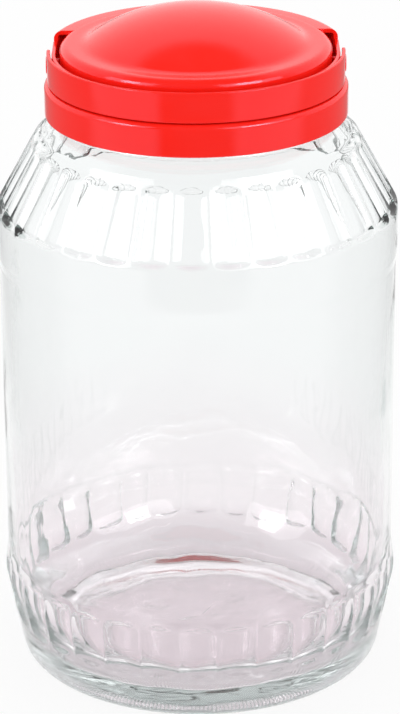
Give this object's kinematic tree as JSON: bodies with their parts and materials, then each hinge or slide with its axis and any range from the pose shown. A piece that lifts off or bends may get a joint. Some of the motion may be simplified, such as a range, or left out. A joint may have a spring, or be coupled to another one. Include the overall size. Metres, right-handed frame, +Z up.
{
  "type": "glass storage jar",
  "caption": "Clear fluted glass storage jar, round and wide-mouthed, with a domed red screw lid and a carry handle that folds down.",
  "frame": {"origin": "centre of the base, on the surface that the jar stands on", "axes": "+Z up along the jar's axis, front, where the handle lies folded, faces -Y, and the handle's pivots lie along X"},
  "size_m": [0.1516, 0.1516, 0.2577],
  "materials": {
    "clear_glass": "pressed and blown soda-lime glass, clear and glossy",
    "red_plastic": "injection-moulded polypropylene, bright red and glossy"
  },
  "bodies": {
    "jar": {"glass_jar": "clear_glass", "lid": "red_plastic"},
    "carry_handle": {"handle": "red_plastic"}
  },
  "joints": [
    {"name": "handle_pivot", "type": "hinge", "parent": "jar", "child": "carry_handle", "pos_m": [0, 0, 0.23635], "axis": [-1, 0, 0], "range_deg": [0, 120]}
  ]
}
